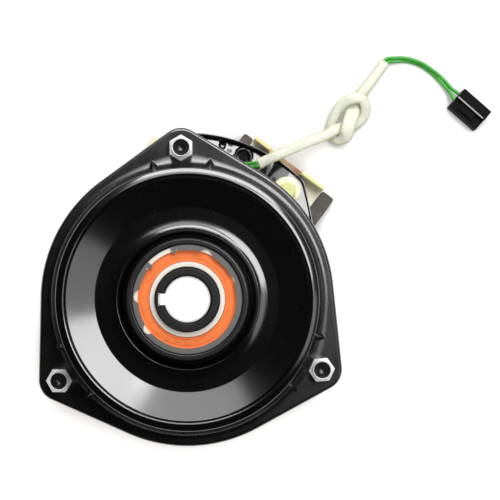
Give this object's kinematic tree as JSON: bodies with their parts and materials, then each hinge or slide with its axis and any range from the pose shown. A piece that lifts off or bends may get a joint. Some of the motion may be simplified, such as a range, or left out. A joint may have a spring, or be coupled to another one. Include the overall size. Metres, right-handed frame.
{
  "type": "electric pto clutch",
  "caption": "Electric power take-off clutch and brake with a pressed belt pulley, lobed brake plate, field coil, anti-rotation bracket and knotted sleeved lead.",
  "frame": {"origin": "on the crankshaft axis at the back face, which the field shell and the rotor hub share", "axes": "+Z along the crankshaft from the back face towards the pulley and hub nose; +Y towards the top brake-plate bolt; +X towards the side where the torque bracket and lead leave"},
  "size_m": [0.2707, 0.2334, 0.078],
  "materials": {
    "black_paint": "satin-gloss baked black paint",
    "black_oxide": "black oxide on machined steel",
    "phosphate": "phosphated spring steel",
    "bearing_steel": "ground bearing steel",
    "ball_steel": "polished steel",
    "seal_rubber": "moulded orange nitrile over a steel insert",
    "zinc_bright": "bright zinc plate",
    "zinc_yellow": "yellow passivated zinc plate",
    "machined_steel": "turned and ground, oiled",
    "fork_steel": "dark bare steel",
    "spring_steel": "oil-tempered spring steel",
    "friction": "moulded friction compound",
    "copper": "enamelled copper wire",
    "bobbin": "natural moulded nylon",
    "potting": "cast black epoxy",
    "grommet_rubber": "black rubber",
    "nylon": "dark nylon insert",
    "cage": "moulded polyamide",
    "sleeve": "varnished woven fibreglass, pale green-white",
    "wire_green": "green insulation",
    "connector": "black moulded nylon",
    "terminal": "stamped brass"
  },
  "bodies": {
    "field": {"coil_shell": "black_paint", "coil_bobbin": "bobbin", "coil_winding": "copper", "coil_potting": "potting", "field_plate": "black_paint", "field_bearing_outer": "bearing_steel", "field_seals": "seal_rubber", "field_circlip": "black_oxide", "torque_fork": "fork_steel", "torque_bracket": "zinc_yellow", "bracket_bolt": "zinc_yellow", "bracket_nut": "zinc_yellow", "lead_grommet": "grommet_rubber", "air_gap_bolts": "black_oxide", "bolt_spacers": "zinc_bright", "air_gap_springs": "spring_steel", "spring_washers": "zinc_bright", "lock_nuts": "zinc_bright", "nut_inserts": "nylon", "brake_plate": "black_paint", "brake_lining": "friction", "lining_rivets": "terminal", "lead_sleeve": "sleeve", "lead_wires_near": "wire_green", "lead_wires_far": "wire_green", "connector_housing": "connector", "connector_terminals": "terminal"},
    "rotor": {"rotor_hub": "black_oxide", "rotor_disc": "machined_steel", "rotor_friction_ring": "friction", "hub_circlip": "black_oxide", "pulley_bearing_inner": "bearing_steel", "field_bearing_inner": "bearing_steel"},
    "pulley": {"pulley_front": "black_paint", "pulley_rear": "black_paint", "pulley_rivets": "black_paint", "bearing_housing": "black_oxide", "pulley_bearing_outer": "bearing_steel", "front_seal": "seal_rubber", "rear_seal": "seal_rubber", "housing_circlip": "phosphate", "leaf_springs": "spring_steel", "spring_rivets": "zinc_bright"},
    "armature": {"armature_plate": "machined_steel", "armature_rivets": "zinc_bright"},
    "pulley_ball_set": {"pulley_bearing_balls": "ball_steel", "pulley_bearing_cage": "cage"},
    "field_ball_set": {"field_bearing_balls": "ball_steel", "field_bearing_cage": "cage"}
  },
  "joints": [
    {"name": "rotor_spin", "type": "hinge", "parent": "field", "child": "rotor", "pos_m": [0, 0, 0.011], "axis": [0, 0, 1], "continuous": true},
    {"name": "pulley_spin", "type": "hinge", "parent": "rotor", "child": "pulley", "pos_m": [0, 0, 0.066], "axis": [0, 0, 1], "continuous": true},
    {"name": "armature_pull", "type": "slide", "parent": "pulley", "child": "armature", "axis": [0, 0, -1], "range_m": [0, 0.0004], "stiffness_N_per_m": 20000, "springref_m": -0.001, "deforming": ["leaf_springs"]},
    {"name": "pulley_ball_orbit", "type": "hinge", "parent": "rotor", "child": "pulley_ball_set", "pos_m": [0, 0, 0.066], "axis": [0, 0, 1], "continuous": true},
    {"name": "field_ball_orbit", "type": "hinge", "parent": "field", "child": "field_ball_set", "pos_m": [0, 0, 0.011], "axis": [0, 0, 1], "continuous": true}
  ],
  "couplings": [
    {"joint": "pulley_ball_orbit", "follows": "pulley_spin", "ratio": 0.5819},
    {"joint": "field_ball_orbit", "follows": "rotor_spin", "ratio": 0.4181}
  ]
}
